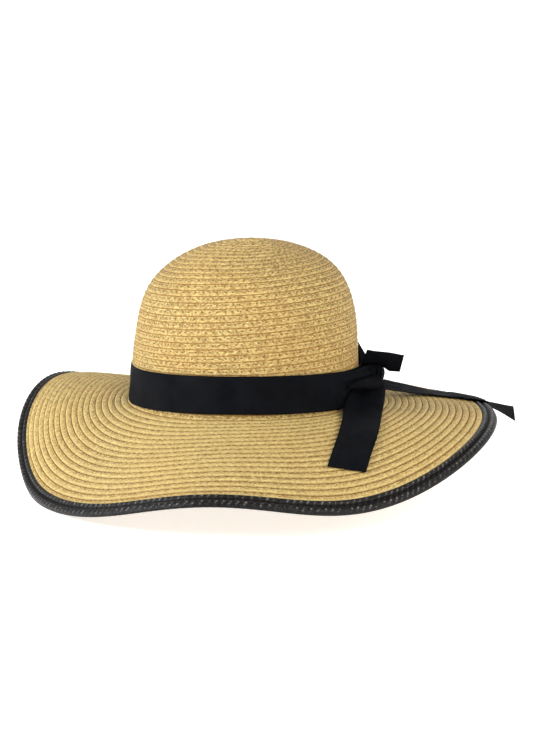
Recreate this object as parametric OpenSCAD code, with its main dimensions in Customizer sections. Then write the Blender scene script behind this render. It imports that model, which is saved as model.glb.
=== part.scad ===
// Straw sun hat: a sewn plaited-straw crown and waved brim, a bound edge, a ribbon band with
// a side bow, and the sweatband, sizing cord and label inside.
// The origin is on the crown's axis where crown and brim meet.
// +Z is up, -Y is the front and +X is the bow side.

/* [Head] */
// Circumference of the head that the sweatband fits
head_round = 560; // [540:5:600]
// Height of the sweatband
sweatband_h = 30; // [26:1:36]

/* [Crown] */
// Height of the crown above the brim
crown_h = 132; // [115:1:150]
// How much smaller the crown's radius would be at the top if it had no shoulder
crown_taper = 9; // [4:1:14]
// Squareness of the shoulder, measured up the crown
shoulder_up = 5.7; // [4:0.1:8]
// Squareness of the shoulder, measured across the crown
shoulder_across = 1.8; // [1.5:0.1:3]

/* [Straw] */
// Width of braid that each row of the crown shows
crown_row = 5.2; // [4:0.1:7]
// Width of braid that each row of the brim shows
brim_row = 5.6; // [4:0.1:7]
// Thickness of the sewn straw
straw_t = 1.7; // [1.4:0.1:2.2]
// How far the edge of each row stands proud of the next
row_step = 0.4; // [0.2:0.1:0.6]
// Thickness of the sewing thread
thread_t = 0.4; // [0.3:0.1:0.6]

/* [Brim] */
// Width of the brim from the crown to its edge, along the straw
brim_w = 113; // [100:1:120]
// Mean downward slope of the brim beside the crown, in degrees
root_slope = 8; // [0:1:12]
// Mean downward slope of the brim at its edge, in degrees
edge_slope = 31; // [20:1:34]
// Slope that one, two, three and four waves round the brim add beside the crown
root_wave = [8, 7, 10, 5]; // [0:1:10]
// Direction of the first trough of each of those waves
root_trough = [225, 66, 99, 18]; // [0:1:360]
// Slope that one to six waves round the brim add at the edge
edge_wave = [14, 2, 10, 7, 5, 4]; // [0:1:14]
// Direction of the first trough of each of those waves
edge_trough = [231, 70, 68, 23, 33, 53]; // [0:1:360]

/* [Edge binding] */
// Width of the binding on each face of the brim
binding_w = 12.5; // [9:0.5:16]
// How far the binding stands proud of the straw
binding_proud = 1; // [0.6:0.1:1.5]
// Radius of the wire that holds the brim's waves
wire_r = 0.8; // [0.5:0.1:0.8]

/* [Ribbon] */
// Width of the ribbon
ribbon_w = 30; // [22:1:32]
// Thickness of the ribbon
ribbon_t = 0.6; // [0.4:0.1:0.8]
// Direction of the bow round the crown
bow_turn = -9; // [-12:1:-6]
// Length of ribbon across the upper loop
loop_w = 28; // [24:1:30]
// Height of the upper loop
upper_loop_h = 12; // [9:0.5:13]
// Height of the front loop
front_loop_h = 9.5; // [7:0.5:11]

/* [Hidden] */
$fn = 96;

STRAW = [0.82, 0.68, 0.44];
THREAD = [0.45, 0.33, 0.20];
LEATHER = [0.09, 0.08, 0.09];
STITCH = [0.25, 0.24, 0.25];
RIBBON = [0.08, 0.09, 0.11];
LINING = [0.86, 0.82, 0.72];

// Radii at the head opening, from the sweatband outwards
head_r = head_round / (2 * PI);
sweatband_t = 0.8;
hem_t = 1.9;
hem_h = 5;
fit_gap = 0.1;
sweatband_low = 1;
sweatband_top = sweatband_low + sweatband_h;
crown_r = head_r + hem_t + fit_gap + straw_t + row_step + crown_taper * sweatband_top / crown_h;

// Steps round the brim, and steps up the crown's profile
TURNS = 72;
PROFILE_STEPS = 240;

function crown_taper_r(z) = crown_r - crown_taper * z / crown_h;
function crown_point(t) =
    let(z = crown_h * pow(sin(t), 2 / shoulder_up))
    [crown_taper_r(z) * pow(max(cos(t), 0), 2 / shoulder_across), z];

// The crown's outline from the brim to the tip, with the length along it at each point
crown_outline = [for (i = [0 : PROFILE_STEPS]) crown_point(90 * pow(i / PROFILE_STEPS, 1.6))];
crown_lengths = [
    for (i = 0, run = 0; i <= PROFILE_STEPS;
         run = run + (i < PROFILE_STEPS ? norm(crown_outline[i + 1] - crown_outline[i]) : 0), i = i + 1) run
];
crown_length = crown_lengths[PROFILE_STEPS];
length_to_r = [for (i = [0 : PROFILE_STEPS]) [crown_lengths[i], crown_outline[i][0]]];
length_to_z = [for (i = [0 : PROFILE_STEPS]) [crown_lengths[i], crown_outline[i][1]]];
function crown_at(run) = [lookup(run, length_to_r), lookup(run, length_to_z)];

// The way out of the straw at a length along the outline
function crown_out(run) =
    let(along = crown_at(min(run + 1, crown_length)) - crown_at(max(run - 1, 0)))
    [along[1], -along[0]] / norm(along);

// Rows of braid from the brim up; the last one closes the tip
crown_rows = floor(crown_length / crown_row);
function row_run(i) = i * crown_length / crown_rows;

// One radius of the brim: its slope runs evenly from the crown to the edge
function waves(size, trough, turn) =
    size * [for (k = [1 : len(size)]) cos(k * (turn - trough[k - 1]))];
function root_angle(turn) = root_slope + waves(root_wave, root_trough, turn);
function edge_angle(turn) = edge_slope + waves(edge_wave, edge_trough, turn);
function brim_slope(turn, run) =
    root_angle(turn) + (edge_angle(turn) - root_angle(turn)) * run / brim_w;

// Radius and height of the brim's upper face at a length along it, and lift off that face
function brim_profile(turn, run, lift = 0) =
    let(first = root_angle(turn), last = brim_slope(turn, run),
        half = (last - first) / 2, middle = (first + last) / 2,
        chord = abs(half) < 0.01 ? run : run * sin(half) / (half * PI / 180))
    [crown_r + chord * cos(middle) + lift * sin(last), -chord * sin(middle) + lift * cos(last)];

// Length along the brim at which it reaches a radius
function brim_run(turn, r, guess = undef, tries = 6) =
    let(run = is_undef(guess) ? r - crown_r : guess)
    tries == 0 ? run : brim_run(turn, r, run + (r - brim_profile(turn, run)[0]) / 0.9, tries - 1);

function round_axis(turn, p) = [p[0] * cos(turn), p[0] * sin(turn), p[1]];

// A closed section swept all the way round the brim; sections are lists of [run, lift]
module brim_ring(section, steps = TURNS, from = 0, to = 360) {
    whole = to - from >= 360;
    rings = whole ? steps : steps + 1;
    n = len(section);
    points = [
        for (i = [0 : rings - 1], s = section)
            let(turn = from + (to - from) * i / steps)
            round_axis(turn, len(s) == 3 ? [s[0], s[1]] : brim_profile(turn, s[0], s[1]))
    ];
    sides = [
        for (i = [0 : (whole ? rings : rings - 1) - 1], j = [0 : n - 1])
            let(a = i * n + j, b = i * n + (j + 1) % n, next = ((i + 1) % rings) * n)
            each [[a, b, next + j], [b, next + (j + 1) % n, next + j]]
    ];
    ends = whole ? [] : [[for (j = [n - 1 : -1 : 0]) j], [for (j = [0 : n - 1]) (rings - 1) * n + j]];
    polyhedron(points, concat(sides, ends));
}

// Where the brim's straw ends inside the binding, and where the wire lies beyond it
binding_in = brim_w - binding_w;
straw_end = brim_w - 3.4;
wire_run = brim_w - 2.2;

module crown_braid() {
    outer = [
        for (i = [0 : crown_rows - 1])
            each [crown_at(row_run(i)),
                  crown_at(row_run(i + 1) - 0.01) - crown_out(row_run(i + 1) - 0.01) * row_step]
    ];
    inner = [
        for (i = [crown_rows - 1 : -1 : 0])
            crown_at(row_run(i)) - crown_out(row_run(i)) * (straw_t + row_step)
    ];
    tip = [[0, crown_h - row_step], [0, crown_h - straw_t - row_step]];
    color(STRAW)
        rotate_extrude()
            polygon(concat(
                [for (p = outer) [max(p[0], 0), max(p[1], 0)]],
                tip,
                [for (p = inner) [max(p[0], 0.01), max(p[1], 0)]]
            ));
}

module crown_thread() {
    color(THREAD)
        for (i = [1 : crown_rows - 2]) {
            seat = crown_at(row_run(i)) - crown_out(row_run(i)) * row_step;
            rotate_extrude()
                translate(seat)
                    circle(thread_t / 2, $fn = 6);
        }
}

module brim_braid() {
    reach = straw_end;
    steps = 6;
    inside = crown_r - straw_t - row_step;
    top = [for (i = [0 : steps]) [reach * i / steps, 0]];
    under = [for (i = [steps : -1 : 1]) [reach * i / steps, -straw_t]];
    color(STRAW)
        brim_ring(concat([[inside, 0, "fixed"]], top, under, [[inside, -straw_t, "fixed"]]));
}

// A thread's section, about a line at a length along the brim and lift off its upper face
function thread_section(run, lift) =
    let(size = thread_t / 2)
    [[run - size, lift - size], [run, lift + size], [run + size, lift - size]];

module brim_thread() {
    sunk = 0.1;
    color(THREAD)
        for (i = [1 : floor(binding_in / brim_row)])
            brim_ring(thread_section(i * brim_row, -sunk));
}

module edge_binding() {
    up = binding_proud;
    down = -straw_t - binding_proud;
    color(LEATHER)
        brim_ring([
            [binding_in, 0], [binding_in + 1.5, up], [binding_in + 4.6, up], [binding_in + 5.4, up * 0.5],
            [binding_in + 6.2, up], [brim_w - 1.2, up], [brim_w, -straw_t / 2], [brim_w - 1.2, down],
            [binding_in + 1.5, down], [binding_in, -straw_t], [wire_run + 1, -straw_t], [wire_run + 1, 0]
        ]);
}

module binding_stitches() {
    from_sides = [3, 3.4];
    color(STITCH)
        for (run = [binding_in + from_sides[0], brim_w - from_sides[1]])
            brim_ring(thread_section(run, binding_proud));
}

function wire_section(r) =
    [for (a = [0 : 60 : 300]) [wire_run + r * cos(a), r * sin(a) - straw_t / 2]];

// The wire is open at the back, where a sleeve joins its ends
module brim_wire() {
    color("silver")
        brim_ring(wire_section(wire_r), from = 91, to = 449);
}

module wire_sleeve() {
    wall = 0.04;
    color("gray")
        brim_ring(wire_section(wire_r + wall), steps = 4, from = 86, to = 94);
}

// A thin band with its upper edge hemmed over as a tunnel for the cord, and a foot sewn to the straw
module sweatband() {
    low = sweatband_low;
    high = sweatband_top;
    foot = crown_r - straw_t - row_step - 0.15 - head_r;
    color(LINING)
        difference() {
            rotate_extrude()
                translate([head_r, 0])
                    difference() {
                        polygon([
                            [0, low], [foot, low], [foot, low + 1], [sweatband_t, low + 2],
                            [sweatband_t, high - hem_h], [hem_t, high - hem_h + 1], [hem_t, high], [0, high]
                        ]);
                        translate([cord_ring_r - head_r, cord_z])
                            circle(cord_r + 0.05);
                    }
            cord_gap();
        }
}

// The hem is cut away outside for a short way at the back, where the cord comes out to be tied
module cord_gap() {
    wide = 14;
    inner_left = 0.2;
    foot_left = 0.5;
    translate([-wide / 2, head_r + inner_left, sweatband_top - hem_h + foot_left])
        cube([wide, 2 * hem_t, hem_h]);
}

cord_r = 0.55;
cord_z = sweatband_top - 2.2;
cord_ring_r = head_r + hem_t / 2 + 0.1;

module size_cord() {
    end_length = 12;
    lean = 3.5;
    knot_r = cord_r * 1.5;
    color(LINING) {
        rotate_extrude()
            translate([cord_ring_r, cord_z])
                circle(cord_r);
        translate([0, cord_ring_r, cord_z])
            sphere(knot_r);
        for (side = [-1, 1])
            translate([0, cord_ring_r, cord_z])
                rotate([lean, side * 24, 0])
                    cylinder(h = end_length, r = cord_r);
    }
}

module sweatband_stitches() {
    count = 60;
    up = 1.5;
    length = 2.4;
    inner = crown_r - straw_t - row_step - length / 2;
    color(STITCH)
        for (i = [0 : count - 1])
            rotate(360 * i / count)
                translate([inner, 0, up])
                    rotate([0, 90, 0])
                        cylinder(h = length, r = thread_t / 2);
}

label_w = 22;
label_h = 26;
label_t = 0.4;
label_turn = 60;
label_foot_r = head_r + 0.37;
label_foot_z = sweatband_top + 0.5;

// A blank label that stands on the sweatband's upper edge and leans against the straw
module care_label() {
    color("white")
        rotate(label_turn - 90)
            translate([0, label_foot_r, label_foot_z])
                rotate([4, 0, 0])
                    translate([-label_w / 2, -label_t / 2, 0])
                        cube([label_w, label_t, label_h]);
}

// The stitches in the sweatband's upper edge that the label's foot turns on
module label_stitches() {
    deep = 1.2;
    color(STITCH)
        rotate(label_turn - 90)
            for (x = [-9 : 3 : 9])
                translate([x, label_foot_r, sweatband_top - deep])
                    cylinder(h = deep + 0.2, r = thread_t / 2);
}

band_low = 0.4;
band_r = crown_r + 0.15;

module ribbon_band() {
    high = band_low + ribbon_w;
    fall = crown_taper * ribbon_w / crown_h;
    color(RIBBON)
        rotate_extrude()
            polygon([
                [band_r, band_low], [band_r + ribbon_t, band_low],
                [band_r + ribbon_t - fall, high], [band_r - fall, high]
            ]);
}

// The bow sits on the band: x runs out from the crown and y runs round it
module at_bow() {
    rotate(bow_turn)
        translate([band_r + ribbon_t, 0, 0])
            children();
}

knot_out = 18;
knot_w = 20;
knot_low = 11;
knot_high = 28;

module bow_knot() {
    round_r = 3.5;
    sunk = 1.5;
    color(RIBBON)
        at_bow()
            hull()
                for (x = [round_r - sunk, knot_out - round_r], side = [-1, 1])
                    for (z = [knot_low + round_r, knot_high - round_r])
                        translate([x, side * (knot_w / 2 - round_r), z])
                            sphere(round_r, $fn = 16);
}

// The outline of a loop of ribbon pressed flat
module stadium(height, rim) {
    square([2 * rim, height - 2 * rim], center = true);
    for (end = [-1, 1])
        translate([0, end * (height / 2 - rim)])
            circle(rim, $fn = 48);
}

// The upper loop lies over the knot as an open tube, and its outer end dips a little
module bow_loop_upper() {
    rim = 4;
    dip = 9.5;
    gap = 1.6;
    color(RIBBON)
        at_bow()
            translate([6, 2, knot_high + gap + upper_loop_h / 2])
                rotate([0, 90 + dip, 0])
                    rotate(90)
                        linear_extrude(loop_w)
                            difference() {
                                stadium(upper_loop_h, rim);
                                stadium(upper_loop_h - 2 * ribbon_t, rim - ribbon_t);
                            }
}

// The front loop spreads from the knot's near side along the band, and is open across the hat
module bow_loop_front() {
    low = 14.8;
    root_y = -knot_w / 2 - 0.6;
    outer = [18.4, root_y - 22];
    inner = [-8.6, root_y - 33];
    slant = (outer[1] - inner[1]) / (outer[0] - inner[0]);
    beyond = [-30, 40];
    far = [for (x = beyond) [x, outer[1] + slant * (x - outer[0]) + ribbon_t]];
    color(RIBBON)
        at_bow()
            translate([0, 0, low])
                difference() {
                    linear_extrude(front_loop_h)
                        polygon([[3, root_y], [14.5, root_y], outer, inner]);
                    translate([0, 0, ribbon_t])
                        linear_extrude(front_loop_h - 2 * ribbon_t)
                            polygon([for (x = beyond) [x, root_y - ribbon_t], far[1], far[0]]);
                }
}

function mix(a, b, t) = a + (b - a) * t;
function ease(t) = let(c = max(0, min(1, t))) c * c * (3 - 2 * c);
function bend(p, s) = (1 - s) * (1 - s) * p[0] + 2 * s * (1 - s) * p[1] + s * s * p[2];
function bend_way(p, s) = 2 * (1 - s) * (p[1] - p[0]) + 2 * s * (p[2] - p[1]);
function brim_height(p) =
    let(turn = atan2(p[1], p[0]))
    brim_profile(turn, brim_run(turn, norm(p)))[1];

// A tail is a strip that leaves the knot gathered, spreads to the ribbon's width and lies down
// on the brim. path is its plan line, and root is its half width, its height and the rise from
// its centre to its edge at the knot. wide and settle are the shares of its length in which it
// spreads and comes down, and clear is its height over the brim at each end. cut is the share
// by which its left edge is shorter, and twist lifts that edge past the rim.
module tail(path, root, wide, settle, clear, cut, twist) {
    steps = 16;
    across = 4;
    past_rim = [0.88, 0.12];
    strip = [
        for (i = [0 : steps], j = [0 : across])
            let(s = i / steps, v = 2 * j / across - 1, k = s * (1 - cut * (1 + v) / 2),
                way = bend_way(path, k), side = [-way[1], way[0]] / norm(way),
                p = bend(path, k) + side * v * mix(root[0], ribbon_w / 2, ease(s / wide)),
                lying = brim_height(p) + mix(clear[0], clear[1], s),
                turned = v * twist * ease((s - past_rim[0]) / past_rim[1]))
            [p[0], p[1], mix(root[1] + v * root[2], lying, ease(s / settle)) + turned]
    ];
    n = across + 1;
    half = (steps + 1) * n;
    thick = [0, 0, ribbon_t];
    lower = [
        for (i = [0 : steps - 1], j = [0 : across - 1])
            let(a = i * n + j)
            each [[a, a + 1, a + n], [a + 1, a + n + 1, a + n]]
    ];
    upper = [for (f = lower) [f[2] + half, f[1] + half, f[0] + half]];
    edge = concat([for (j = [0 : across - 1]) j], [for (i = [0 : steps - 1]) i * n + across],
                  [for (j = [across : -1 : 1]) steps * n + j], [for (i = [steps : -1 : 1]) i * n]);
    walls = [
        for (k = [0 : len(edge) - 1])
            let(a = edge[k], b = edge[(k + 1) % len(edge)])
            each [[b, a, b + half], [a, a + half, b + half]]
    ];
    polyhedron(concat(strip, [for (p = strip) p + thick]), concat(lower, upper, walls));
}

module ribbon_tail_front() {
    color(RIBBON)
        tail([[104, -25], [95, -62], [76, -147]], root = [9.5, 9.2, 0.5], wide = 0.45, settle = 0.4,
             clear = [1.2, 1.2], cut = 0.07, twist = 0);
}

module ribbon_tail_rear() {
    color(RIBBON)
        tail([[117, -6.5], [138, 50], [228, 38]], root = [3, 12, 6], wide = 0.45, settle = 0.35,
             clear = [1.8, 2.8], cut = 0, twist = 4);
}

crown_braid();
brim_braid();
crown_thread();
brim_thread();
edge_binding();
binding_stitches();
brim_wire();
wire_sleeve();
sweatband();
sweatband_stitches();
size_cord();
care_label();
label_stitches();
ribbon_band();
bow_knot();
bow_loop_upper();
bow_loop_front();
ribbon_tail_front();
ribbon_tail_rear();
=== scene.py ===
"""Straw sun hat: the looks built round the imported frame. Lengths are in millimetres until a mesh is made."""
import math

import bpy
import numpy as np
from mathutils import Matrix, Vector


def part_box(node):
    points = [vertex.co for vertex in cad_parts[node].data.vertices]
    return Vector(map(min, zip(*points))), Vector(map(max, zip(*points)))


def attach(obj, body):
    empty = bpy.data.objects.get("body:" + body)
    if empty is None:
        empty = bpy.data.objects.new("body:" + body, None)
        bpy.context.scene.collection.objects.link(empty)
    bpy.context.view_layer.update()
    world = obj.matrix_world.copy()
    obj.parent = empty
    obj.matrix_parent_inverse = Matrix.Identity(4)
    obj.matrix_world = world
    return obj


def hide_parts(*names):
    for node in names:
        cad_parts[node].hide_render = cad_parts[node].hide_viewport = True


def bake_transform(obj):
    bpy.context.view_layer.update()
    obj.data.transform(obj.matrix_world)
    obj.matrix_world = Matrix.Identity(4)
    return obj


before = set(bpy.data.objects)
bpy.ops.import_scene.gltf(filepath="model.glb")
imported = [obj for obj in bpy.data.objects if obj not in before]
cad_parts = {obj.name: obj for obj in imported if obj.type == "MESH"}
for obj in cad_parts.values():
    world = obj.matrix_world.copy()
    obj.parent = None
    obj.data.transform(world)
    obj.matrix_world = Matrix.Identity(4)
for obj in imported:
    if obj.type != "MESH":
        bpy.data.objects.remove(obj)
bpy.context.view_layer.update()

RNG = np.random.default_rng(7)

# Crown: a dome that narrows a little as it rises; its shoulder is rounder across than upwards
CROWN_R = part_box("crown_braid")[1].x * 1000
CROWN_H = 132
CROWN_TAPER = 9
SHOULDER_UP = 5.7
SHOULDER_ACROSS = 1.8
CROWN_LEAN = 5

# Brim: its width along the straw, and how many waves round it are followed
BRIM_W = 113
BRIM_WAVES = 6

# Sewn straw: rows, how far they tilt, the spacing of points along the braid, and the part under the last row
CROWN_ROWS = 36
BRIM_PITCH = 5.58
BRIM_ROWS = 18.9
ROW_TILT = 5.5
STRAW_STEP = 0.8
TUCK = 1.6

# Edge binding: where it starts on the brim, its groove, and the spacing of its puckers
BINDING_IN = 100.5
BINDING_W = 12.5
GROOVE = 5.3
PUCKER = 5.5

# Ribbon and bow
RIBBON_W = 30
RIBBON_T = 0.6
BAND_OUT = 1.45
BOW_TURN = -9
BOW_OUT = CROWN_R + 0.75
KNOT_OUT, KNOT_LOW, KNOT_HIGH = 18, 11, 30.5

# Inside: the fitted head, and the sweatband's edges
HEAD_R = 560 / (2 * math.pi)
SWEATBAND_LOW, SWEATBAND_TOP = 1, 31


# ---------------------------------------------------------------- small maths

def mix(a, b, t):
    return a + (b - a) * t


def ease(t):
    c = np.clip(t, 0, 1)
    return c * c * (3 - 2 * c)


def stack(*parts):
    return np.stack(np.broadcast_arrays(*parts), axis=-1)


def unit(v):
    return v / np.maximum(np.linalg.norm(v, axis=-1, keepdims=True), 1e-9)


# ---------------------------------------------------------------- the straw's surface

def crown_table(steps=900):
    """Length from the tip, radius and height along the crown's outline."""
    t = np.radians(90 * (np.arange(steps + 1) / steps) ** 1.6)
    z = CROWN_H * np.sin(t) ** (2 / SHOULDER_UP)
    r = (CROWN_R - CROWN_TAPER * z / CROWN_H) * np.clip(np.cos(t), 0, 1) ** (2 / SHOULDER_ACROSS)
    r, z = r[::-1], z[::-1]
    run = np.concatenate([[0], np.cumsum(np.hypot(np.diff(r), np.diff(z)))])
    return run, r, z


CROWN_RUN, CROWN_RS, CROWN_ZS = crown_table()
CROWN_LENGTH = CROWN_RUN[-1]
CROWN_PITCH = CROWN_LENGTH / CROWN_ROWS
STRAW_END = CROWN_LENGTH + BINDING_IN + 3.5


def frame_brim_arcs():
    """Upper face of the frame's brim: each section's slope at the crown and its bend a millimetre."""
    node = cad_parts["brim_braid"]
    points = np.array([node.matrix_world @ v.co for v in node.data.vertices]) * 1000
    turn = np.round(np.degrees(np.arctan2(points[:, 1], points[:, 0])) % 360, 1) % 360
    arcs = []
    for place in np.unique(turn):
        section = points[turn == place]
        flat = np.stack([np.hypot(section[:, 0], section[:, 1]), section[:, 2]], 1)
        section = np.unique(np.round(flat, 2), axis=0)
        faces = section[3:].reshape(-1, 2, 2)
        top = faces[np.arange(len(faces)), faces[:, :, 1].argmax(1)] - (CROWN_R, 0)
        middle, end = top[len(top) // 2 - 1], top[-1]
        to_middle, to_end = (math.atan2(-z, r) for r, z in (middle, end))
        chords = np.hypot(*np.array([middle, end]).T)
        runs = chords
        for _ in range(8):
            bend = 2 * (to_end - to_middle) / (runs[1] - runs[0])
            runs = chords / np.sinc(bend * runs / 2 / np.pi)
        arcs.append((to_end - bend * runs[1] / 2, bend))
    return np.array(arcs)


def brim_terms():
    """Size and phase of each wave round the brim, in its slope at the crown and at its edge."""
    arcs = frame_brim_arcs()
    slopes = arcs[:, 0], arcs[:, 0] + arcs[:, 1] * BRIM_W
    return [np.fft.rfft(s)[:BRIM_WAVES + 1] / len(s) for s in slopes]


ROOT_TERMS, EDGE_TERMS = brim_terms()


def wave_slope(terms, turn):
    waves = (2 * abs(t) * np.cos(k * turn + np.angle(t)) for k, t in enumerate(terms[1:], 1))
    return terms[0].real + sum(waves)


def outline(run, turn):
    """Radius and height of the straw at a length from the crown's tip."""
    on_crown = np.clip(run, 0, CROWN_LENGTH)
    r = np.interp(on_crown, CROWN_RUN, CROWN_RS)
    z = np.interp(on_crown, CROWN_RUN, CROWN_ZS)
    u = np.maximum(run - CROWN_LENGTH, 0)
    first = wave_slope(ROOT_TERMS, turn)
    last = first + (wave_slope(EDGE_TERMS, turn) - first) * u / BRIM_W
    half, middle = (last - first) / 2, (last + first) / 2
    chord = u * np.sinc(half / np.pi)
    return r + chord * np.cos(middle), z - chord * np.sin(middle)


def soft_outline(run, turn, reach=1.5):
    """The outline with the corner between crown and brim rounded."""
    taps = [outline(np.maximum(run + k * reach, 0), turn) for k in (-2, -1, 0, 1, 2)]
    return sum(t[0] for t in taps) / 5, sum(t[1] for t in taps) / 5


def straw(run, turn, lift=0.0, tilt=True):
    """A point of the straw's upper face, or lift millimetres off it."""
    if tilt:
        share = ease((run - 15) / 45) * (1 - ease((run - 130) / 50))
        run = run - ROW_TILT * share * np.cos(turn)
    near_tip = run < 4
    r, z = soft_outline(run, turn)
    r2, z2 = soft_outline(run + 1, turn)
    out, up = -(z2 - z), r2 - r
    size = np.maximum(np.hypot(out, up), 1e-6)
    out, up = np.where(near_tip, 0, out / size), np.where(near_tip, 1, up / size)
    r = np.where(near_tip, np.maximum(run, 0), r)
    waver = 0.35 * np.sin(3 * turn + run / 31) + 0.3 * np.sin(5 * turn - run / 47 + 1)
    waver = waver + 0.2 * np.sin(run / 9 + turn)
    waver = waver * ease(run / 40) * (1 - ease((run - CROWN_LENGTH - 60) / 40))
    r, z = r + out * (lift + waver), z + up * (lift + waver)
    lean = CROWN_LEAN * (np.clip(z, 0, None) / CROWN_H) ** 2
    return stack(r * np.cos(turn) + lean, r * np.sin(turn), z)


def brim_z(x, y):
    """Height of the brim's upper face above or below a point of the plan."""
    turn, r = np.arctan2(y, x), np.hypot(x, y)
    u = r - CROWN_R
    for _ in range(8):
        u = u + (r - outline(CROWN_LENGTH + u, turn)[0]) / 0.9
    return outline(CROWN_LENGTH + u, turn)[1]


# ---------------------------------------------------------------- meshes

def grid_faces(rows, cols, wrap_rows=False, wrap_cols=False):
    """Quads of a grid of points, with each corner's row and column before wrapping."""
    i, j = np.meshgrid(np.arange(rows - (not wrap_rows)), np.arange(cols - (not wrap_cols)), indexing="ij")
    i, j = i.ravel()[:, None] + np.array([0, 0, 1, 1]), j.ravel()[:, None] + np.array([0, 1, 1, 0])
    return (i % rows) * cols + j % cols, i, j


def build(name, points, faces, uv=None, tone=None, slot=None, body="hat", replaces=(), material=None):
    """A mesh object from points in millimetres; each array of faces has one corner count."""
    mesh = bpy.data.meshes.new(name)
    points = np.asarray(points, np.float64).reshape(-1, 3)
    loops = np.concatenate([f.ravel() for f in faces]).astype(np.int32)
    sizes = np.concatenate([np.full(len(f), f.shape[1]) for f in faces])
    mesh.vertices.add(len(points))
    mesh.vertices.foreach_set("co", (points / 1000).astype(np.float32).ravel())
    mesh.loops.add(len(loops))
    mesh.loops.foreach_set("vertex_index", loops)
    mesh.polygons.add(len(sizes))
    mesh.polygons.foreach_set("loop_start", np.concatenate([[0], np.cumsum(sizes)[:-1]]).astype(np.int32))
    mesh.polygons.foreach_set("use_smooth", np.ones(len(sizes), bool))
    mesh.update(calc_edges=True)
    if uv is not None:
        layer = mesh.uv_layers.new(name="UVMap")
        layer.data.foreach_set("uv", np.asarray(uv, np.float32).ravel())
    if tone is not None:
        attribute = mesh.attributes.new("tone", "FLOAT", "POINT")
        attribute.data.foreach_set("value", np.asarray(tone, np.float32).ravel())
    mesh.validate()
    piece = bpy.data.objects.new(name, mesh)
    bpy.context.scene.collection.objects.link(piece)
    if material:
        mesh.materials.append(material)
    if body:
        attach(piece, body)
    if replaces:
        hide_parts(*replaces)
    return piece


def sweep(name, top, under, along, across, wrap=False, **looks):
    """A closed skin between two grids of points, top and under, each rows x columns x 3."""
    rows, cols = top.shape[:2]
    ring = np.concatenate([top, under[:, ::-1]], axis=1)
    faces, i, j = grid_faces(rows, 2 * cols, wrap, True)
    v = np.concatenate([across, across[::-1], across[:1]])
    uv = [stack(np.append(along, 2 * along[-1] - along[-2])[i], v[j]).reshape(-1, 2)]
    groups = [faces]
    if not wrap:
        k = np.arange(cols - 1)
        cap = np.stack([k, 2 * cols - 1 - k, 2 * cols - 2 - k, k + 1], axis=1)
        end = cap[:, ::-1] + (rows - 1) * 2 * cols
        groups += [cap, end]
        for c, at in ((cap, along[0]), (end, along[-1])):
            uv.append(stack(np.full(c.shape, at), v[c % (2 * cols)]).reshape(-1, 2))
    return build(name, ring, groups, uv=np.concatenate(uv), **looks)


def sheet(name, middle, thick, along=None, across=None, wrap=False, **looks):
    """A sheet of even thickness about a grid of points."""
    d_row = np.roll(middle, -1, 0) - np.roll(middle, 1, 0) if wrap else np.gradient(middle, axis=0)
    normal = unit(np.cross(d_row, np.gradient(middle, axis=1)))
    if along is None:
        step = np.linalg.norm(np.diff(middle[:, middle.shape[1] // 2], axis=0), axis=1)
        along = np.concatenate([[0], np.cumsum(step)])
    if across is None:
        across = np.linspace(0, RIBBON_W, middle.shape[1])
    return sweep(name, middle + normal * thick / 2, middle - normal * thick / 2, along, across, wrap, **looks)


def capsules(name, centre, direction, normal, length, radius, **looks):
    """Short round-ended threads, one at each centre."""
    sides, stations = 6, ((-0.5, 0.3), (-0.36, 0.9), (0.0, 1.0), (0.36, 0.9), (0.5, 0.3))
    side = unit(np.cross(direction, normal))
    angle = np.arange(sides) * 2 * np.pi / sides
    rings = []
    for place, size in stations:
        cos, sin = np.cos(angle)[None, :, None], np.sin(angle)[None, :, None]
        round_part = cos * side[:, None] + sin * normal[:, None]
        rings.append(centre[:, None] + direction[:, None] * length * place + round_part * radius * size)
    points = np.stack(rings, axis=1)
    count = len(centre)
    body_faces, _, _ = grid_faces(len(stations), sides, False, True)
    low = np.arange(sides)[None, :]
    high = low[:, ::-1] + (len(stations) - 1) * sides
    start = (np.arange(count) * len(stations) * sides)[:, None, None]
    groups = [(f[None] + start).reshape(-1, f.shape[1]) for f in (body_faces, low, high)]
    return build(name, points, groups, **looks)


def square_to(path):
    """Two directions square to a path and to each other, at each of its points."""
    way = unit(np.gradient(path, axis=0))
    side = unit(np.cross(way, np.where(np.abs(way[:, 2:]) > 0.9, [1.0, 0, 0], [0, 0, 1.0])))
    return side, np.cross(side, way)


def tube(name, path, radius, sides=8, **looks):
    """A round cord along a path of points."""
    side, other = square_to(path)
    angle = np.arange(sides) * 2 * np.pi / sides
    cos, sin = np.cos(angle)[None, :, None], np.sin(angle)[None, :, None]
    around = cos * side[:, None] + sin * other[:, None]
    points = path[:, None] + around * radius
    faces, i, j = grid_faces(len(path), sides, False, True)
    low = np.arange(sides)[None, ::-1]
    high = np.arange(sides)[None] + (len(path) - 1) * sides
    uv = np.concatenate([stack(i * 1.0, j * 1.0).reshape(-1, 2), np.zeros((2 * sides, 2))])
    return build(name, points, (faces, low, high), uv=uv, **looks)


# ---------------------------------------------------------------- material nodes

def linear(red, green, blue):
    """A colour as a screen shows it, 0 to 255, as the linear values Blender works in."""
    c = np.array([red, green, blue]) / 255
    return tuple(np.where(c < 0.04045, c / 12.92, ((c + 0.055) / 1.055) ** 2.4)) + (1.0,)


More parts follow.
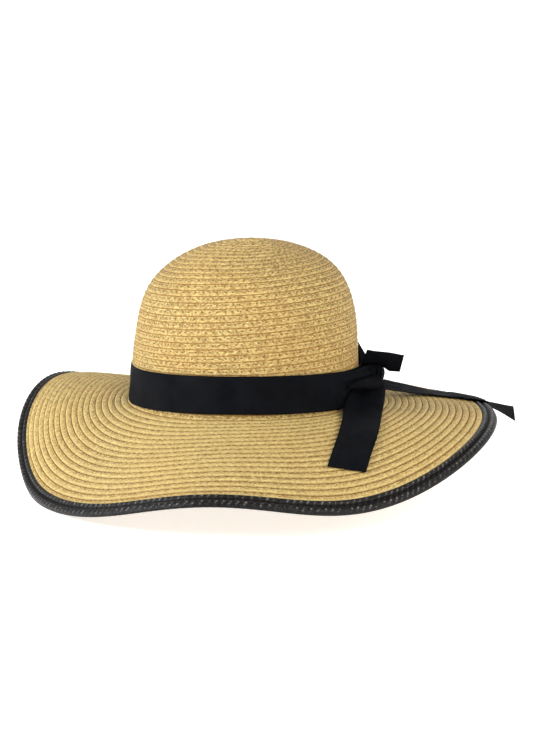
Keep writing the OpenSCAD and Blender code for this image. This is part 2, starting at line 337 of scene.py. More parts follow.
class Shader:
    """A material with short calls for the nodes used here."""

    def __init__(self, name, roughness=0.5, **inputs):
        self.material = bpy.data.materials.new(name)
        self.material.use_nodes = True
        self.nodes = self.material.node_tree.nodes
        self.links = self.material.node_tree.links
        self.bsdf = self.nodes["Principled BSDF"]
        self.bsdf.inputs["Roughness"].default_value = roughness
        for key, value in inputs.items():
            self.bsdf.inputs[key.replace("_", " ")].default_value = value

    def add(self, kind, **settings):
        node = self.nodes.new(kind)
        for key, value in settings.items():
            setattr(node, key, value)
        return node

    def put(self, socket, value):
        if isinstance(value, bpy.types.NodeSocket):
            self.links.new(value, socket)
        else:
            socket.default_value = value

    def calc(self, operation, *values):
        node = self.add("ShaderNodeMath", operation=operation)
        for socket, value in zip(node.inputs, values):
            self.put(socket, value)
        return node.outputs[0]

    def uv(self):
        split = self.add("ShaderNodeSeparateXYZ")
        self.links.new(self.add("ShaderNodeUVMap", uv_map="UVMap").outputs[0], split.inputs[0])
        return split.outputs[0], split.outputs[1]

    def tone(self):
        return self.add("ShaderNodeAttribute", attribute_name="tone").outputs["Fac"]

    def place(self):
        return self.add("ShaderNodeTexCoord").outputs["Object"]

    def noise(self, scale, detail=3.0, roughness=0.55):
        node = self.add("ShaderNodeTexNoise")
        node.inputs["Scale"].default_value = scale
        node.inputs["Detail"].default_value = detail
        node.inputs["Roughness"].default_value = roughness
        self.links.new(self.place(), node.inputs["Vector"])
        return node.outputs["Fac"]

    def spread(self, value, low, high, to_low=0.0, to_high=1.0):
        node = self.add("ShaderNodeMapRange")
        for socket, v in zip(node.inputs, (value, low, high, to_low, to_high)):
            self.put(socket, v)
        return node.outputs[0]

    def blend(self, share, a, b):
        node = self.add("ShaderNodeMix", data_type="RGBA")
        self.put(node.inputs[0], share)
        self.put(node.inputs[6], a)
        self.put(node.inputs[7], b)
        return node.outputs[2]

    def random(self, x, y):
        join = self.add("ShaderNodeCombineXYZ")
        self.put(join.inputs[0], x)
        self.put(join.inputs[1], y)
        node = self.add("ShaderNodeTexWhiteNoise", noise_dimensions="2D")
        self.links.new(join.outputs[0], node.inputs["Vector"])
        return node.outputs["Value"]

    def finish(self, colour, height=None, depth=0.2, roughness=None):
        self.put(self.bsdf.inputs["Base Color"], colour)
        if roughness is not None:
            self.put(self.bsdf.inputs["Roughness"], roughness)
        if height is not None:
            bump = self.add("ShaderNodeBump")
            bump.inputs["Distance"].default_value = depth / 1000
            self.links.new(height, bump.inputs["Height"])
            self.links.new(bump.outputs[0], self.bsdf.inputs["Normal"])
        return self.material


def plait(s, u, v, column=1.05, cell=1.3):
    """Slanted cells of a flat plait: their bulge, 0 to 1, and a random value for each."""
    c = s.calc("DIVIDE", v, column)
    col = s.calc("FLOOR", c)
    f = s.calc("SUBTRACT", c, col)
    side = s.calc("SUBTRACT", s.calc("MULTIPLY", s.calc("MODULO", s.calc("ADD", col, 8), 2), 2), 1)
    w = s.calc("DIVIDE", s.calc("ADD", u, s.calc("MULTIPLY", s.calc("MULTIPLY", side, f), 1.1)), cell)
    k = s.calc("FLOOR", w)
    g = s.calc("SUBTRACT", w, k)
    hump = s.calc("MULTIPLY", s.calc("SINE", s.calc("MULTIPLY", g, math.pi)),
                  s.calc("SINE", s.calc("MULTIPLY", f, math.pi)))
    return s.calc("POWER", s.calc("MAXIMUM", hump, 0.0001), 0.5), s.random(k, col)


def straw_material(name, pitch, crest_highlight, seam, dashed):
    """Paper-straw braid: slanted cells of random tone with painted shade at their edges, a painted highlight
    on the raised outer side of each row, and painted shade where each row goes under the last.
    """
    s = Shader(name, roughness=0.6, Specular_IOR_Level=0.3)
    u, v = s.uv()
    bulge, chance = plait(s, u, v)
    strand = s.noise(1300, 3, roughness=0.7)
    drift = s.noise(16, 3)
    # Cell lightness: a random tone for each cell, plus painted shade towards each cell's edges where the
    # strands dip under one another.
    light = s.calc("ADD", s.calc("MULTIPLY", chance, 0.65), s.calc("MULTIPLY", s.spread(bulge, 0.2, 1), 0.5))
    light = s.calc("SUBTRACT", light, s.spread(strand, 0.35, 0.6, 0.35, 0.0))
    colour = s.blend(s.spread(light, 0.05, 0.95), linear(126, 84, 28), linear(252, 228, 154))
    colour = s.blend(s.calc("MULTIPLY", s.spread(drift, 0.35, 0.65), 0.2), colour, linear(220, 172, 92))
    # Painted highlight: the raised outer part of each row is blended towards pale straw, as if it caught the
    # light.
    pale = s.calc("MULTIPLY", s.spread(v, pitch * 0.35, pitch * 0.8), crest_highlight)
    colour = s.blend(pale, colour, linear(254, 230, 156))
    dash = s.spread(s.noise(170, 2), 0.4, 0.6, 1 - dashed, 1.0)
    shade = s.calc("MULTIPLY", s.spread(v, seam * 0.35, seam, 0.9, 0.0), dash)
    colour = s.blend(shade, colour, linear(138, 86, 16))
    height = s.calc("ADD", bulge, s.calc("MULTIPLY", strand, 0.5))
    rough = s.spread(chance, 0, 1, 0.48, 0.72)
    return s.finish(colour, height, 0.5, rough)


def ribbon_material():
    """Matte black petersham: fine cross ribs and warp threads."""
    s = Shader("ribbon_weave", Specular_IOR_Level=0.08, Sheen_Weight=0.01, Sheen_Roughness=0.4)
    s.bsdf.inputs["Sheen Tint"].default_value = linear(120, 132, 158)
    u, v = s.uv()
    rib = s.calc("SINE", s.calc("MULTIPLY", u, 2 * math.pi / 0.85))
    warp = s.calc("SINE", s.calc("MULTIPLY", v, 2 * math.pi / 0.5))
    height = s.calc("ADD", s.calc("MULTIPLY", rib, 0.5), s.calc("MULTIPLY", warp, 0.3))
    colour = s.blend(s.spread(s.noise(70, 4), 0.3, 0.7), linear(2, 3, 7), linear(7, 10, 17))
    return s.finish(colour, height, 0.07, s.spread(s.noise(45, 3), 0.3, 0.7, 0.62, 0.82))


def binding_material():
    """Soft black grained leathercloth: paler grains here and there, and painted highlights on the high folds
    of the puckers.
    """
    s = Shader("binding_leathercloth", Specular_IOR_Level=0.18)
    grain = s.add("ShaderNodeTexVoronoi")
    grain.inputs["Scale"].default_value = 1100
    s.links.new(s.place(), grain.inputs["Vector"])
    tint = s.add("ShaderNodeSeparateColor")
    s.links.new(grain.outputs["Color"], tint.inputs[0])
    crease = s.noise(380, 4, roughness=0.7)
    colour = s.blend(s.calc("POWER", tint.outputs[0], 2.5), linear(7, 6, 7), linear(36, 34, 34))
    # Painted highlight: the pucker ridges marked by the tone attribute are blended towards pale grey, as if
    # they caught the light.
    fold = s.calc("MULTIPLY", s.calc("POWER", s.tone(), 3.5), s.spread(crease, 0.45, 0.58))
    colour = s.blend(s.calc("MULTIPLY", fold, 0.85), colour, linear(190, 185, 185))
    height = s.calc("SUBTRACT", s.calc("MULTIPLY", crease, 0.8), grain.outputs["Distance"])
    return s.finish(colour, height, 0.25, s.spread(crease, 0.3, 0.7, 0.26, 0.42))


def thread_material(name, dark, pale, twist=4000):
    s = Shader(name, roughness=0.75)
    ply = s.noise(twist, 2)
    return s.finish(s.blend(ply, dark, pale), ply, 0.05)


def fabric_material(name, dark, pale, pitch=0.55, roughness=0.85):
    """A plain weave in millimetres of the piece's own UV."""
    s = Shader(name, roughness=roughness, Sheen_Weight=0.15)
    u, v = s.uv()
    a = s.calc("SINE", s.calc("MULTIPLY", u, 2 * math.pi / pitch))
    b = s.calc("SINE", s.calc("MULTIPLY", v, 2 * math.pi / pitch))
    weave = s.calc("MULTIPLY", a, b)
    soil = s.spread(s.noise(35, 4), 0.3, 0.7)
    return s.finish(s.blend(soil, dark, pale), weave, 0.07)


def metal_material(name, colour, roughness):
    s = Shader(name, Metallic=1.0)
    drawn = s.noise(700, 3)
    return s.finish(s.blend(drawn, colour, linear(190, 190, 194)), drawn, 0.02,
                    s.spread(drawn, 0.3, 0.7, roughness - 0.08, roughness + 0.1))


def plain_floor_material():
    """Matt white that glows a little, as a lit studio sweep does."""
    s = Shader("floor_paper", roughness=0.95, Specular_IOR_Level=0.02)
    s.bsdf.inputs["Emission Color"].default_value = (1, 1, 1, 1)
    s.bsdf.inputs["Emission Strength"].default_value = 0.72
    return s.finish(s.blend(s.noise(8, 2), linear(240, 240, 240), linear(245, 245, 245)))


# ---------------------------------------------------------------- straw pieces

BRAID_V = np.array([0.0, 0.16, 0.32, 0.5, 0.68, 0.84, 0.93, 1.0])


def braid_profile(pitch, proud):
    """Across one row: place along the run, height of the top, height of the underside."""
    v = np.concatenate([[-TUCK], BRAID_V * pitch])
    top = np.interp(v / pitch, [-0.3, 0.0, 0.16, 0.5, 0.84, 0.93, 1.0],
                    [-0.95, -0.6, -0.15, proud * 0.4, proud, proud * 0.8, -0.45])
    under = top - np.interp(v / pitch, [-0.3, 0, 0.9, 1.0], [0.55, 0.75, 0.8, 0.3])
    return v, top, under


def spiral_turns(start, end, run_of_turn):
    """Turns counted from the tip, in even steps of length along the braid."""
    turns = np.linspace(start, end, int((end - start) * 300) + 2)
    radius = np.maximum(soft_outline(run_of_turn(turns), -2 * np.pi * turns)[0], 3)
    length = np.concatenate([[0], np.cumsum(np.diff(turns) * 2 * np.pi * (radius[1:] + radius[:-1]) / 2)])
    along = np.linspace(0, length[-1], int(length[-1] / STRAW_STEP) + 2)
    return np.interp(along, length, turns), along


def braid(name, start, end, pitch, run_of_turn, proud, limit, offset, **looks):
    """One stretch of the running braid, wound clockwise seen from above."""
    turns, along = spiral_turns(start, end, run_of_turn)
    v, top, under = braid_profile(pitch, proud)
    run = np.minimum(np.maximum(run_of_turn(turns)[:, None] + v[None], 0.15), limit)
    angle = -2 * np.pi * turns[:, None]
    strand = np.sin((along[:, None] + v[None] * 0.8) * 2 * np.pi / 3)
    plait_lift = 0.09 * strand * (v[None] > 0.3) * (v[None] < 5)
    lifted = straw(run, angle, top[None] + plait_lift)
    lower = straw(run, angle, under[None])
    return sweep(name, lifted, lower, along + offset, v, **looks)


def crown_run(turns):
    return turns * CROWN_PITCH


def brim_run(turns):
    return CROWN_LENGTH + turns * BRIM_PITCH


def make_straw():
    crown = straw_material("straw_crown", CROWN_PITCH, 0.12, 0.95, 0.25)
    brim = straw_material("straw_brim", BRIM_PITCH, 0.45, 1.2, 0.35)
    stops = (0, 17, 23, 29.5, CROWN_ROWS)
    for i, (a, b) in enumerate(zip(stops, stops[1:])):
        braid(f"crown_plait_{i + 1}", a, b, CROWN_PITCH, crown_run, 0.15, 1e4, i * 7.0, material=crown,
              slot="straw", replaces=("crown_braid",))
    stops = (0, 5, 9, 12.5, 16, BRIM_ROWS)
    for i, (a, b) in enumerate(zip(stops, stops[1:])):
        braid(f"brim_plait_{i + 1}", a, b, BRIM_PITCH, brim_run, 0.55, STRAW_END, i * 7.0,
              material=brim, slot="straw", replaces=("brim_braid",))


def seam_stitches(name, start, end, run_of_turn, pitch, at, gap, length, lift, thick, **looks):
    turns, along = spiral_turns(start, end, run_of_turn)
    places = np.arange(gap, along[-1], gap)
    places = places + RNG.uniform(-0.15, 0.15, len(places)) * gap
    turn = np.interp(places, along, turns)
    run, angle = run_of_turn(turn) + at * pitch, -2 * np.pi * turn
    here, ahead = straw(run, angle, lift), straw(run, angle - 0.004, lift)
    normal = unit(straw(run, angle, lift + 1) - here)
    capsules(name, here, unit(ahead - here), normal, length, thick, **looks)


def make_stitches():
    dark = thread_material("sewing_thread_brown", linear(70, 46, 18), linear(120, 86, 40))
    seam_stitches("crown_stitches", 1.5, CROWN_ROWS - 0.2, crown_run, CROWN_PITCH, 0.5, 5.9, 1.5, 0.1, 0.4,
                  material=dark, slot="sewing_thread", replaces=("crown_thread",))
    seam_stitches("brim_stitches", 0.5, 17.6, brim_run, BRIM_PITCH, 0.07, 5.6, 3.2, -0.42, 0.3,
                  material=dark, slot="sewing_thread", replaces=("brim_thread",))


# ---------------------------------------------------------------- edge binding

BINDING_TOP = ((0, -0.2), (0.5, 0.7), (1.4, 1.5), (2.6, 1.8), (3.7, 1.4), (4.4, 0.4), (4.9, -0.5), (5.3, -0.7),
               (5.7, -0.5), (6.3, 0.5), (7.1, 1.5), (8.6, 2.0), (10.3, 1.6), (11.6, 0.4), (12.5, -0.85))
BINDING_UNDER = ((0, -1.3), (0.5, -1.9), (1.4, -2.5), (2.6, -2.8), (3.7, -2.6), (4.4, -2.2), (4.9, -1.95),
                 (5.3, -1.9), (5.7, -1.95), (6.3, -2.2), (7.1, -2.6), (8.6, -2.9), (10.3, -2.7), (11.6, -2.0),
                 (12.5, -0.86))


def rim_length(samples=2880):
    turn = np.linspace(0, 2 * np.pi, samples + 1)
    p = straw(CROWN_LENGTH + BRIM_W - 4, turn, 0.0, tilt=False)
    return turn, np.concatenate([[0], np.cumsum(np.linalg.norm(np.diff(p, axis=0), axis=1))])


def make_binding():
    turn_of, length_of = rim_length()
    count = int(length_of[-1] / 0.8)
    puckers = round(length_of[-1] / PUCKER)
    along = np.linspace(0, length_of[-1], count + 1)[:-1]
    turn = np.interp(along, length_of, turn_of)[:, None]
    phase = along[:, None] * puckers / length_of[-1]
    rows = []
    tone = []
    for section, face in ((BINDING_TOP, 1), (BINDING_UNDER, -1)):
        part = np.array(section)
        roll = np.sin(np.pi * np.clip(part[:, 0] / GROOVE, 0, 1))
        roll = roll + np.sin(np.pi * np.clip((part[:, 0] - GROOVE) / (BINDING_W - GROOVE), 0, 1))
        slant = phase + part[None, :, 0] * 0.13 + 0.12 * np.sin(phase * 0.7)
        ridge = np.abs(np.cos(np.pi * slant)) ** 4
        lift = part[None, :, 1] + face * roll[None] * (0.4 * ridge - 0.2)
        run = CROWN_LENGTH + BINDING_IN + part[None, :, 0] + 0 * turn
        rows.append(straw(run, turn + 0 * lift, lift, tilt=False))
        # tone marks the pucker ridges on each roll, where binding_material paints a highlight.
        tone.append(ridge * roll[None])
    tone = np.concatenate([tone[0], tone[1][:, ::-1]], axis=1)
    across = np.array(BINDING_TOP)[:, 0]
    sweep("edge_binding_rolled", rows[0], rows[1], along, across, wrap=True, tone=tone,
          material=binding_material(), slot="binding_leather", replaces=("edge_binding",))
    stitch_binding(puckers, turn_of, length_of)


def stitch_binding(count, turn_of, length_of):
    """One stitch in the groove for each pucker."""
    places = (np.arange(count) + 0.5) * length_of[-1] / count
    turn = np.interp(places, length_of, turn_of)
    groove = CROWN_LENGTH + BINDING_IN + GROOVE
    here = straw(groove, turn, -0.45, tilt=False)
    ahead = straw(groove, turn + 0.003, -0.45, tilt=False)
    normal = unit(straw(groove, turn, 0.55, tilt=False) - here)
    capsules("binding_stitching", here, unit(ahead - here), normal, 3.6, 0.28,
             material=thread_material("binding_thread", linear(26, 25, 26), linear(70, 68, 70)),
             slot="black_thread", replaces=("binding_stitches",))


# ---------------------------------------------------------------- ribbon and bow

def band_point(turn, height):
    """A point of the ribbon round the crown: it rides up a little at the front and puckers by the bow."""
    z = 4.5 * np.clip(-np.sin(turn), 0, None) ** 2 + height
    near = np.exp(-((turn - math.radians(BOW_TURN)) / 0.5) ** 2)
    pucker = near * 0.9 * np.sin(height * (0.5 + 0.3 * turn) + turn * 14)
    pucker = pucker + 0.25 * np.sin(height / 3.1 + 4 * turn)
    r = CROWN_R + BAND_OUT - CROWN_TAPER * z / CROWN_H + np.clip(pucker, -0.3, 1)
    lean = CROWN_LEAN * (np.clip(z, 0, None) / CROWN_H) ** 2
    return stack(r * np.cos(turn) + lean, r * np.sin(turn), z)


def make_band(material):
    turn = np.linspace(0, 2 * np.pi, 721)[:-1]
    height = np.linspace(0, RIBBON_W, 25)
    middle = band_point(turn[:, None], height[None])
    sheet("ribbon_band_woven", middle, RIBBON_T, along=turn * CROWN_R, across=height, wrap=True,
          material=material, body="ribbon", slot="ribbon", replaces=("ribbon_band",))


def bow_frame(x, y, z):
    """From the bow's own frame, x out from the band and y round it, to the hat's."""
    c, s = math.cos(math.radians(BOW_TURN)), math.sin(math.radians(BOW_TURN))
    x = x + BOW_OUT
    return stack(x * c - y * s, x * s + y * c, z)


def make_knot(material):
    """The gathered lump of ribbon."""
    around = np.linspace(0, 2 * np.pi, 193)[:-1]
    rise = np.linspace(-1, 1, 41)
    angle, t = around[:, None], rise[None]
    fold = 0.5 * np.sin(11 * angle + 1.5 * t) + 0.3 * np.sin(19 * angle - 2 * t)
    fold = fold + 0.4 * np.sin(3 * angle + 4 * t)
    tuck = np.sqrt(np.clip(1 - np.abs(t) ** 7, 0.002, 1)) * (1 - 0.08 * t ** 2)
    cx, cy = (np.sign(c) * np.abs(c) ** 0.55 for c in (np.cos(angle), np.sin(angle)))
    grids = []
    for inset in (0.0, 0.7):
        x = KNOT_OUT / 2 + ((KNOT_OUT / 2 - 0.4 - inset) + fold) * cx * tuck
        y = ((9.9 - inset) + fold) * cy * tuck
        z = (KNOT_LOW + KNOT_HIGH) / 2 + ((KNOT_HIGH - KNOT_LOW) / 2 - inset) * t + 0 * angle
        grids.append(bow_frame(x, y, z))
    sweep("bow_knot_gathered", grids[0], grids[1], around * 9, rise * 8.5, wrap=True, material=material,
          body="ribbon", slot="ribbon", replaces=("bow_knot",))


def make_pleats(material):
    """The pleats that draw the band in to the knot."""
    along = np.linspace(0, 1, 61)[:, None]
    up = np.linspace(0, 1, 61)[None]
    near = ease(along)
    pleat = (0.35 + 0.65 * near) * 0.9 * np.sin(up * 26 + along * 2)
    out = -1.5 + 4.7 * near + 8.4 * near ** 1.6 * np.sin(np.pi * np.clip(up, 0.02, 0.98)) ** 0.45 + pleat
    y = mix(-52, -7.5, along) + 0 * up
    z = mix(mix(1.5, 12, near), mix(29.5, 30.5, near), up)
    round_in = np.hypot(BOW_OUT, y) - BOW_OUT
    out = out - round_in * (1 - 0.25 * near) - CROWN_TAPER * z / CROWN_H
    sheet("bow_knot_pleats", bow_frame(out, y, z), RIBBON_T, material=material, body="ribbon", slot="ribbon")


def loop_path(count):
    """Round a flattened loop from its root and back: distance out, 0 to 1, and height, -1 to 1."""
    t = np.linspace(0, 1, count)
    out = np.sin(np.pi * t) ** 0.62
    up = np.cos(np.pi * t) * (0.62 + 0.5 * np.sin(np.pi * t) ** 1.5)
    return out, up


def make_upper_loop(material):
    """The loop over the knot: a tube of ribbon across the bow, whose open outer end droops."""
    around = np.linspace(0, 2 * np.pi, 81)[:-1, None]
    across = np.linspace(0, 1, 31)[None]
    x = mix(4.0, 34.5, across)
    top = mix(41.9, 38.4, across)
    bottom = mix(28.9, 24.6, ease((x - 15) / 9))
    squeeze = mix(0.75, 1.0, ease(across * 1.6))
    bend = np.sign(np.sin(around)) * np.abs(np.sin(around)) ** 0.85
    z = (top + bottom) / 2 + (top - bottom) / 2 * bend + 0.2 * np.sin(across * 8 + around * 2)
    y = 1.5 + 4.6 * squeeze * np.cos(around) + 0.35 * np.sin(across * 7 + around * 3) - 1.2 * bend * across
    x = x - (3.4 * ease(across * 2 - 1) + 5 * ease(1 - across * 3)) * (1 - bend) / 2
    sheet("bow_upper_loop_ribbon", bow_frame(x, y, z), RIBBON_T, along=around[:, 0] * 7, wrap=True,
          material=material, body="upper_loop", slot="ribbon", replaces=("bow_loop_upper",))


def make_front_loop(material):
    """The loop along the band on the knot's near side; its open end is cut back underneath."""
    out, up = loop_path(71)
    across = np.linspace(0, 1, 31)[None]
    out, up = out[:, None], up[:, None]
    under = ease((0.6 - up) / 1.4)
    far_x = mix(mix(-8.8, 3.5, under), 21.0, across)
    far_y = mix(mix(-43.5, -38.5, under), -32.8, across)
    x = mix(mix(2.5, 14.5, across), far_x, out)
    y = mix(-9.0, far_y, out)
    sag = 0.35 * np.sin(across * 8 + out * 6) + 0.4 * np.sin(across * 3.1) * up
    z = 14.9 + mix(10.2, 6.2, out) * (1 + up) / 2 + sag
    x = x + np.clip(97.6 - np.hypot(x + BOW_OUT, y), 0, None)
    sheet("bow_front_loop_ribbon", bow_frame(x, y, z), RIBBON_T, material=material, body="front_loop",
          slot="ribbon", replaces=("bow_loop_front",))


def make_fold(material):
    """The pointed fold of ribbon that stands against the crown behind the knot."""
    rise = np.linspace(0, 1, 31)[:, None]
    across = np.linspace(-1, 1, 33)[None]
    width = (1 - rise) ** 1.05
    z = mix(22.0, 45.0, rise) + 0 * across
    y = mix(3.0, 8.0, rise) + 11 * across * width
    clear = CROWN_R - CROWN_TAPER * z / CROWN_H + 0.6
    inner = np.sqrt(np.maximum(clear ** 2 - y ** 2, 0)) + CROWN_LEAN * (z / CROWN_H) ** 2
    x = inner + 12.5 * width * (1 - np.abs(across) ** 1.5)
    sheet("bow_back_fold", stack(x, y, z), RIBBON_T, material=material, body="ribbon", slot="ribbon")


def soft_line(points, count):
    """An evenly stepped line through a few points, with its corners rounded."""
    points = np.array(points, float)
    run = np.concatenate([[0], np.cumsum(np.linalg.norm(np.diff(points, axis=0), axis=1))])
    at = np.linspace(0, run[-1], count)
    line = np.stack([np.interp(at, run, points[:, i]) for i in range(3)], axis=1)
    for _ in range(count // 2):
        line[1:-1] = (line[:-2] + 2 * line[1:-1] + line[2:]) / 4
    return line


def tail_grid(left, right, clear, flare, rows=91, cols=21):
    """A strip between two edge lines, kept above the straw, with its last part cut and turned."""
    s = np.linspace(0, 1, rows)[:, None]
    v = np.linspace(0, 1, cols)[None]
    a, b = soft_line(left, rows), soft_line(right, rows)
    p = a[:, None] + (b - a)[:, None] * v[..., None]
    settled = ease(s / 0.3)
    ripple = 0.35 * np.sin(s * 11 + v * 2.2) + 0.12 * np.sin(s * 37 + v * 6)
    ripple = ripple + 0.5 * (1 - settled) * np.sin(v * 15)
    radius = np.hypot(p[..., 0], p[..., 1])
    over_binding = 1.3 * ease((radius - CROWN_R - 80) / 12)
    floor = np.where(radius < CROWN_R + BRIM_W - 1, brim_z(p[..., 0], p[..., 1]) + clear + over_binding, -1e3)
    z = np.maximum(p[..., 2] + ripple, floor) + flare * v * (1 - v) * ease((s - 0.8) / 0.2)
    return stack(p[..., 0], p[..., 1], z)


FRONT_TAIL = (((84, -49, 14.4), (77.5, -64, 4.5), (75, -90, -1), (70, -117, -8.5), (61, -149, -24)),
              ((115, -14, 14.4), (112.5, -36, 5.5), (108.5, -64, -0.5), (103, -102, -9), (90.5, -144.5, -30)))
REAR_TAIL = (((114, -2, 15), (126, 15, 9), (137, 30, 4.5), (153, 45, -1.5), (172, 55, -7), (201, 60, -14.5),
              (216, 56, -17), (230, 50, -18)),
             ((111, -17, 9), (128, 4, 4), (151, 20, -2), (170, 28, -5.5), (188, 30, -9), (207, 28, -13),
              (228, 25, -26)))


def make_tails(material):
    piece = sheet("ribbon_tail_front_cut", tail_grid(*FRONT_TAIL, 1.9, 0), RIBBON_T, material=material,
                  body=None, slot="ribbon", replaces=("ribbon_tail_front",))
    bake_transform(piece)
    piece = sheet("ribbon_tail_rear_cut", tail_grid(*REAR_TAIL, 1.7, 3), RIBBON_T, material=material,
                  body=None, slot="ribbon", replaces=("ribbon_tail_rear",))
    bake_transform(piece)


# ---------------------------------------------------------------- inside the crown

def make_sweatband():
    turn = np.linspace(0, 2 * np.pi, 541)[:-1][:, None]
    height = np.linspace(SWEATBAND_LOW, SWEATBAND_TOP, 25)[None]
    ripple = 0.12 * np.sin(turn * 60) * np.exp(-((height - 2) / 3) ** 2) + 0.1 * np.sin(turn * 7 + height / 4)
    hem = 0.5 * np.exp(-((height - SWEATBAND_TOP + 2.2) / 1.6) ** 2)
    r = HEAD_R + 0.45 + ripple
    top = stack((r + 0.3 + hem) * np.cos(turn), (r + 0.3 + hem) * np.sin(turn), height + 0 * turn)
    under = stack((r - 0.3) * np.cos(turn), (r - 0.3) * np.sin(turn), height + 0 * turn)
    lining = fabric_material("sweatband_cotton", linear(205, 196, 172), linear(228, 220, 198))
    sweep("sweatband_cloth", top, under, turn[:, 0] * HEAD_R, height[0], wrap=True, material=lining,
          slot="lining", replaces=("sweatband",))
    stitch_turn = np.arange(180) * 2 * np.pi / 180
    for name, z, nodes in (("sweatband_foot_stitches", SWEATBAND_LOW + 1.5, ("sweatband_stitches",)),
                           ("sweatband_hem_stitches", SWEATBAND_TOP - 4.6, ())):
        r = HEAD_R - 0.02
        here = stack(r * np.cos(stitch_turn), r * np.sin(stitch_turn), np.full(180, float(z)))
        way = stack(-np.sin(stitch_turn), np.cos(stitch_turn), 0 * stitch_turn)
        inward = stack(-np.cos(stitch_turn), -np.sin(stitch_turn), 0 * stitch_turn)
        capsules(name, here, way, inward, 2.2, 0.22,
                 material=thread_material(name + "_thread", linear(54, 52, 54), linear(92, 90, 92)),
                 slot="black_thread", replaces=nodes)


def twisted(name, path, radius, pitch, replaces=(), **looks):
    """Two plies laid round each other; the first takes the place of the frame's nodes."""
    side, other = square_to(path)
    along = np.concatenate([[0], np.cumsum(np.linalg.norm(np.diff(path, axis=0), axis=1))])
    phase = along / along[-1] * 2 * np.pi * round(along[-1] / pitch)
    for ply, nodes in ((0, replaces), (1, ())):
        a = (phase + ply * math.pi)[:, None]
        middle = path + (np.cos(a) * side + np.sin(a) * other) * radius * 0.5
        tube(f"{name}_{ply + 1}", middle, radius * 0.55, sides=7, replaces=nodes, **looks)


def make_cord():
    cotton = thread_material("cord_cotton", linear(196, 186, 158), linear(232, 224, 200), 2500)
    ring = HEAD_R + 1.05
    z = SWEATBAND_TOP - 2.2
    turn = np.radians(np.linspace(94, 446, 700))
    path = stack(ring * np.cos(turn), ring * np.sin(turn), np.full(len(turn), z))
    twisted("size_cord_ply", path, 0.5, 2.4, material=cotton, slot="cord", replaces=("size_cord",))
    for side in (-1, 1):
        t = np.linspace(0, 1, 60)
        sway = side * 6.2 * t
        hang = stack(sway + side * 0.5 * np.sin(t * 5), ring - 1.5 * t, z + 15 * t * (1 - 0.15 * t))
        end = "right" if side > 0 else "left"
        twisted(f"size_cord_end_{end}", hang, 0.5, 2.4, material=cotton, slot="cord")
    t = np.linspace(0, 4 * np.pi, 90)
    knot = stack(1.1 * np.sin(t), ring - 0.4 + 0.5 * np.cos(1.5 * t), z + 0.54 * np.sin(2 * t))
    tube("size_cord_knot", knot, 0.5, material=cotton, slot="cord")


def make_label():
    turn = math.radians(60)
    out = np.array([math.cos(turn), math.sin(turn), 0])
    side = np.array([-out[1], out[0], 0])
    up = np.linspace(0, 1, 21)[:, None]
    across = np.linspace(-1, 1, 17)[None]
    curl = 0.25 * across ** 2 + 0.2 * np.sin(up * 5) * up
    reach = HEAD_R + 0.37 - 26 * math.sin(math.radians(4)) * up - curl
    place = reach[..., None] * out + (across * 11 + 0 * up)[..., None] * side
    z = 31.6 + 25.9 * up + 0 * across
    middle = np.concatenate([place[..., :2], z[..., None]], axis=-1)
    satin = fabric_material("label_satin", linear(232, 232, 228), linear(248, 248, 245), 0.3, 0.45)
    sheet("care_label_satin", middle, 0.35, across=np.linspace(0, 22, 17), material=satin, body="label",
          slot="label", replaces=("care_label",))
    x = np.arange(-9, 10, 2.25)
    here = (HEAD_R + 0.3) * out + x[:, None] * side + np.array([0, 0, SWEATBAND_TOP - 0.1])
    capsules("label_foot_stitches", here, np.tile(side, (len(x), 1)), np.tile(-out, (len(x), 1)), 1.5, 0.2,
             material=thread_material("label_thread", linear(60, 58, 60), linear(96, 94, 96)),
             slot="black_thread", replaces=("label_stitches",))


def dress_hidden_nodes():
    """The wire and its sleeve lie inside the binding and keep their own shapes."""
    wire = metal_material("spring_wire", linear(120, 120, 124), 0.35)
    sleeve = metal_material("crimped_sleeve", linear(96, 96, 98), 0.5)
    for node, material in (("brim_wire", wire), ("wire_sleeve", sleeve)):
        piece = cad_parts[node]
        piece.data.materials.clear()
        piece.data.materials.append(material)


# ---------------------------------------------------------------- the stage

def make_stage():
    low = min(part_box(n)[0].z for n in ("edge_binding", "brim_braid"))
    bpy.ops.mesh.primitive_plane_add(size=40, location=(0, 0, low - 0.0025))
    floor = bpy.context.object
    floor.name = "floor"
    floor.data.materials.append(plain_floor_material())


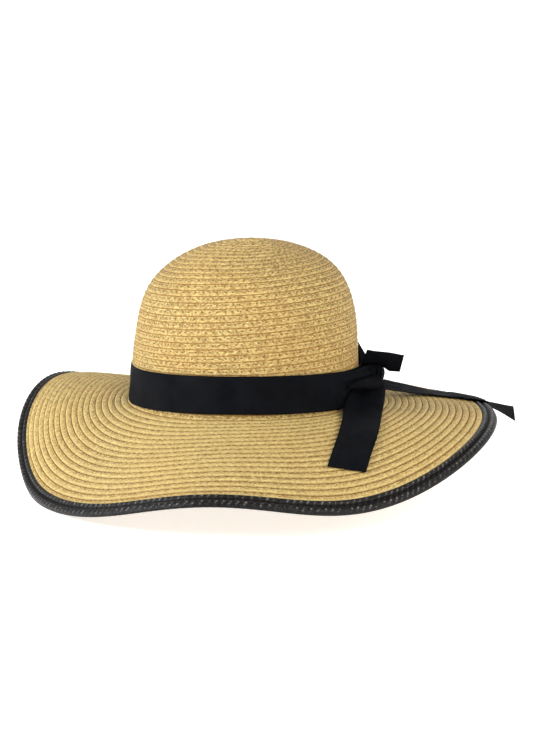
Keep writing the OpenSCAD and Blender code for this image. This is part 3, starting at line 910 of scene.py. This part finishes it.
def make_light(name, place, target, size, power, tint=(1, 1, 1)):
    data = bpy.data.lights.new(name, "AREA")
    data.shape, data.size, data.energy, data.color = "SQUARE", size, power, tint
    light = bpy.data.objects.new(name, data)
    light.location = place
    light.rotation_euler = (Vector(target) - Vector(place)).to_track_quat("-Z", "Y").to_euler()
    bpy.context.scene.collection.objects.link(light)


def make_lights():
    """An even white studio: the world lights softly and looks pure white behind the hat."""
    world = bpy.data.worlds.new("studio")
    world.use_nodes = True
    nodes, links = world.node_tree.nodes, world.node_tree.links
    strength = nodes.new("ShaderNodeMapRange")
    links.new(nodes.new("ShaderNodeLightPath").outputs["Is Camera Ray"], strength.inputs["Value"])
    strength.inputs["To Min"].default_value = 0.58
    strength.inputs["To Max"].default_value = 1.0
    nodes["Background"].inputs["Color"].default_value = (1, 1, 1, 1)
    links.new(strength.outputs[0], nodes["Background"].inputs["Strength"])
    bpy.context.scene.world = world
    bpy.context.scene.view_settings.view_transform = "Standard"
    target = (0, 0, 0.02)
    make_light("key", (-2.2, -0.95, 1.05), target, 0.6, 60, (1, 1, 0.99))
    make_light("fill", (1.5, -1.3, 1.1), target, 1.2, 24, (1, 0.92, 0.78))
    make_light("back", (0.4, 1.9, 1.2), target, 1.2, 6)


def make_camera():
    lean, far = math.radians(11), 1.5
    data = bpy.data.cameras.new("camera")
    data.sensor_width, data.lens = 36, 87.2
    data.clip_start, data.clip_end = 0.05, 50
    camera = bpy.data.objects.new("camera", data)
    camera.location = (0, -far * math.cos(lean), far * math.sin(lean))
    aim = Vector((0.0170, 0.0199 * math.sin(lean), 0.0199 * math.cos(lean)))
    camera.rotation_euler = (aim - camera.location).to_track_quat("-Z", "Y").to_euler()
    bpy.context.scene.collection.objects.link(camera)
    bpy.context.scene.camera = camera


def make_hat():
    ribbon = ribbon_material()
    make_straw()
    make_stitches()
    make_binding()
    make_band(ribbon)
    make_knot(ribbon)
    make_pleats(ribbon)
    make_upper_loop(ribbon)
    make_front_loop(ribbon)
    make_fold(ribbon)
    make_tails(ribbon)
    make_sweatband()
    make_cord()
    make_label()
    dress_hidden_nodes()


make_hat()
make_stage()
make_lights()
make_camera()
